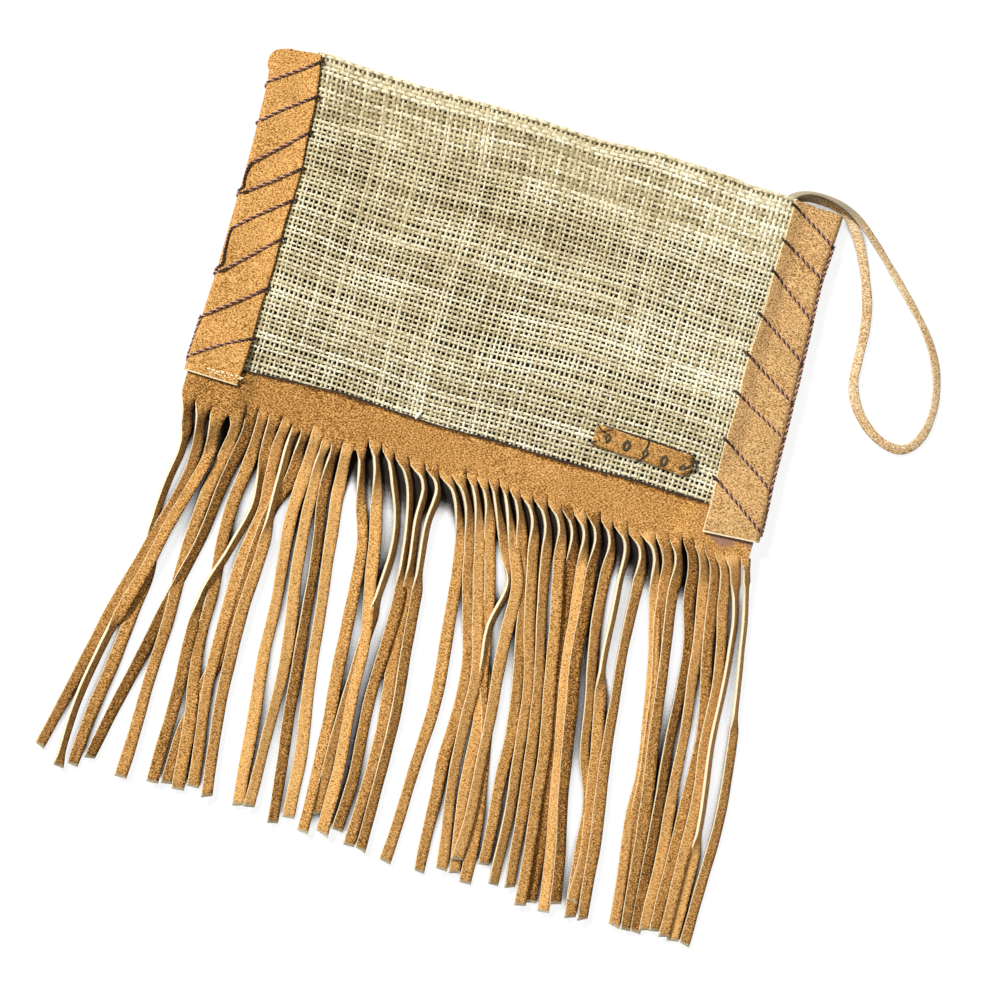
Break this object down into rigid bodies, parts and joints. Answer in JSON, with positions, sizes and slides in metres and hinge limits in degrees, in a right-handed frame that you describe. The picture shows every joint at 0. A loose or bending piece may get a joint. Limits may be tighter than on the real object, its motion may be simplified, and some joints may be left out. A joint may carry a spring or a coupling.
{
  "type": "wristlet clutch",
  "caption": "Flat zipped pouch of open burlap with suede side trims laced on, a long suede fringe at the foot and a suede wrist loop.",
  "frame": {"origin": "middle of the back wall's rest face, which lies on the floor", "axes": "+Z out of the front, +X along the mouth towards the wrist loop, +Y towards the zipped mouth"},
  "size_m": [0.3326, 0.3338, 0.0126],
  "materials": {
    "burlap": "open plain weave of rough jute yarn",
    "suede": "napped tan suede with pale cut edges",
    "lining_cotton": "plain dark cotton",
    "waxed_cord": "twisted two-ply waxed cord",
    "dark_thread": "dark sewing thread",
    "pale_thread": "scuffed pale thread",
    "zip_tape": "dark woven tape",
    "brass": "plain zip metal, lightly polished"
  },
  "bodies": {
    "clutch": {"front_panel": "burlap", "back_panel": "burlap", "lining": "lining_cotton", "left_trim": "suede", "right_trim": "suede", "fringe": "suede", "left_lacing": "waxed_cord", "right_lacing": "waxed_cord", "wrist_strap": "suede", "label_patch": "suede", "label_tack_left": "dark_thread", "label_tack_middle": "dark_thread", "label_tack_right": "dark_thread", "zip_tape_front": "zip_tape", "zip_tape_back": "zip_tape", "zip_teeth_front": "brass", "zip_teeth_back": "brass", "zip_stop_left": "brass", "zip_stop_right": "brass", "corner_stitch": "pale_thread"},
    "slider": {"zip_slider": "brass"},
    "pull": {"zip_pull": "brass"}
  },
  "joints": [
    {"name": "zip_slide", "type": "slide", "parent": "clutch", "child": "slider", "axis": [-1, 0, 0], "range_m": [0, 0.16]},
    {"name": "pull_hinge", "type": "hinge", "parent": "slider", "child": "pull", "pos_m": [0.08, 0.06576, 0.005], "axis": [0, 0, -1], "range_deg": [0, 110]}
  ]
}
